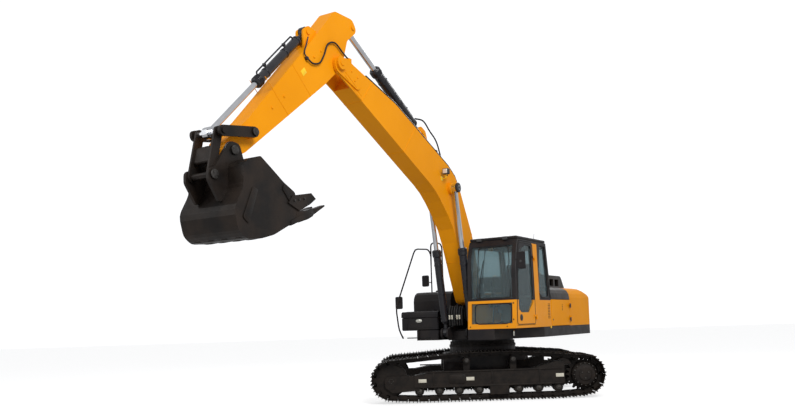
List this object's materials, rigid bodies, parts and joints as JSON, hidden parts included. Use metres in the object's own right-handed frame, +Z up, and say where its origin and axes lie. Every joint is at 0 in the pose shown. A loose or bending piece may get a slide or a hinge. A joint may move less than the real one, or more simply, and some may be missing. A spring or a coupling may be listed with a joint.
{
  "type": "crawler excavator",
  "caption": "Crawler excavator with a slewing upper structure, an operator's cab, a one-piece boom, an arm and a digging bucket moved by hydraulic cylinders.",
  "frame": {"origin": "on the ground under the middle of the machine's box at rest", "axes": "+Z up, +Y along the longest side of the box, the tracks along X"},
  "size_m": [6.9083, 9.7035, 6.3689],
  "materials": {
    "yellow_paint": "satin",
    "dark_paint": "satin",
    "track_steel": "matte",
    "chrome": "polished",
    "glass": "clear",
    "fabric": "woven",
    "plastic": "matte"
  },
  "bodies": {
    "undercarriage": {"lower_frame": "dark_paint", "slew_ring": "track_steel", "left_track_frame": "dark_paint", "right_track_frame": "dark_paint", "left_track": "track_steel", "right_track": "track_steel", "left_idler": "track_steel", "right_idler": "track_steel", "left_sprocket": "dark_paint", "right_sprocket": "dark_paint"},
    "upper_structure": {"upper_frame": "dark_paint", "counterweight": "yellow_paint", "cooler_cover": "dark_paint", "engine_block": "track_steel", "exhaust": "track_steel", "fuel_tank": "dark_paint", "hydraulic_tank": "dark_paint", "tool_box": "dark_paint", "handrails": "dark_paint", "cab_front_frame": "dark_paint", "cab_right_wall": "dark_paint", "cab_rear_wall": "dark_paint", "cab_roof": "dark_paint", "cab_left_wall": "yellow_paint", "quarter_glass": "glass", "right_glass": "glass", "windshield": "glass", "lower_windshield": "glass", "rear_glass": "glass", "left_mirror": "plastic", "seat_stand": "plastic", "seat_cushion": "fabric", "seat_back": "fabric"},
    "cab_door": {"cab_door": "yellow_paint", "cab_door_glass": "glass"},
    "left_side_door": {"left_side_door": "yellow_paint"},
    "right_side_door": {"right_side_door": "yellow_paint"},
    "engine_hood": {"engine_hood": "dark_paint"},
    "tool_box_lid": {"tool_box_lid": "dark_paint"},
    "boom": {"boom": "yellow_paint", "boom_pipes": "dark_paint"},
    "arm": {"arm": "yellow_paint"},
    "bucket": {"bucket": "dark_paint"},
    "guide_links": {"left_guide_link": "dark_paint", "right_guide_link": "dark_paint"},
    "bucket_link": {"bucket_link": "dark_paint"},
    "boom_barrels": {"left_boom_barrel": "dark_paint", "right_boom_barrel": "dark_paint"},
    "boom_rods": {"left_boom_rod": "chrome", "right_boom_rod": "chrome"},
    "arm_barrel": {"arm_barrel": "dark_paint"},
    "arm_rod": {"arm_rod": "chrome"},
    "bucket_barrel": {"bucket_barrel": "dark_paint"},
    "bucket_rod": {"bucket_rod": "chrome"}
  },
  "joints": [
    {"name": "slew", "type": "hinge", "parent": "undercarriage", "child": "upper_structure", "pos_m": [0.8635, 1.7943, 1.09], "axis": [0, 0, 1], "continuous": true},
    {"name": "boom", "type": "hinge", "parent": "upper_structure", "child": "boom", "pos_m": [0.64436, 1.436, 1.95], "axis": [-0.8531, 0.5218, 0], "range_deg": [-70, 24]},
    {"name": "arm", "type": "hinge", "parent": "boom", "child": "arm", "pos_m": [-1.6931, -2.38587, 5.53], "axis": [0.8531, -0.5218, 0], "range_deg": [-33, 68]},
    {"name": "bucket", "type": "hinge", "parent": "arm", "child": "bucket", "pos_m": [-2.90148, -4.36164, 3.756], "axis": [0.8531, -0.5218, 0], "range_deg": [-145, 15]},
    {"name": "boom_barrels", "type": "hinge", "parent": "upper_structure", "child": "boom_barrels", "pos_m": [0.35218, 0.95827, 1.28], "axis": [-0.8531, 0.5218, 0], "range_deg": [-64.28, 22.7]},
    {"name": "boom_rods", "type": "slide", "parent": "boom_barrels", "child": "boom_rods", "axis": [-0.0933, -0.1526, 0.9839], "range_m": [-0.9758, 0.3372]},
    {"name": "arm_barrel", "type": "hinge", "parent": "boom", "child": "arm_barrel", "pos_m": [-0.31879, -0.13881, 4.982], "axis": [0.8531, -0.5218, 0], "range_deg": [-3.66, 6.49]},
    {"name": "arm_rod", "type": "slide", "parent": "arm_barrel", "child": "arm_rod", "axis": [-0.4531, -0.7409, 0.4957], "range_m": [-0.4345, 0.8912]},
    {"name": "guide_links", "type": "hinge", "parent": "arm", "child": "guide_links", "pos_m": [-2.72774, -4.07756, 4.05], "axis": [0.8531, -0.5218, 0], "range_deg": [-119.54, 13.26]},
    {"name": "bucket_link", "type": "hinge", "parent": "bucket", "child": "bucket_link", "pos_m": [-3.08461, -4.66108, 3.397], "axis": [0.8531, -0.5218, 0], "range_deg": [-11.12, 98.8]},
    {"name": "bucket_barrel", "type": "hinge", "parent": "arm", "child": "bucket_barrel", "pos_m": [-2.01658, -2.91479, 5.86], "axis": [0.8531, -0.5218, 0], "range_deg": [-1.23, 3.17]},
    {"name": "bucket_rod", "type": "slide", "parent": "bucket_barrel", "child": "bucket_rod", "axis": [-0.3709, -0.6064, -0.7034], "range_m": [-0.9586, 0.1028]},
    {"name": "cab_door", "type": "hinge", "parent": "upper_structure", "child": "cab_door", "pos_m": [1.84913, 0.72261, 1.336], "axis": [0, 0, 1], "range_deg": [0, 165]},
    {"name": "left_side_door", "type": "hinge", "parent": "upper_structure", "child": "left_side_door", "pos_m": [2.8196, 2.30936, 1.336], "axis": [0, 0, 1], "range_deg": [0, 110]},
    {"name": "right_side_door", "type": "hinge", "parent": "upper_structure", "child": "right_side_door", "pos_m": [0.43093, 3.77028, 1.336], "axis": [0, 0, -1], "range_deg": [0, 110]},
    {"name": "engine_hood", "type": "hinge", "parent": "upper_structure", "child": "engine_hood", "pos_m": [1.12438, 2.22085, 2.195], "axis": [0.8531, -0.5218, 0], "range_deg": [0, 60]},
    {"name": "tool_box_lid", "type": "hinge", "parent": "upper_structure", "child": "tool_box_lid", "pos_m": [0.60784, 1.37628, 1.736], "axis": [-0.8531, 0.5218, 0], "range_deg": [0, 75]}
  ],
  "couplings": [
    {"joint": "boom_barrels", "follows": "boom", "ratio": 0.904},
    {"joint": "boom_rods", "follows": "boom", "m_per_rad": 0.7954},
    {"joint": "arm_barrel", "follows": "arm", "ratio": 0.0807},
    {"joint": "arm_rod", "follows": "arm", "m_per_rad": 0.7475},
    {"joint": "guide_links", "follows": "bucket", "ratio": 0.8175},
    {"joint": "bucket_link", "follows": "bucket", "ratio": -0.6745},
    {"joint": "bucket_barrel", "follows": "bucket", "ratio": -0.015},
    {"joint": "bucket_rod", "follows": "bucket", "m_per_rad": 0.3772}
  ]
}
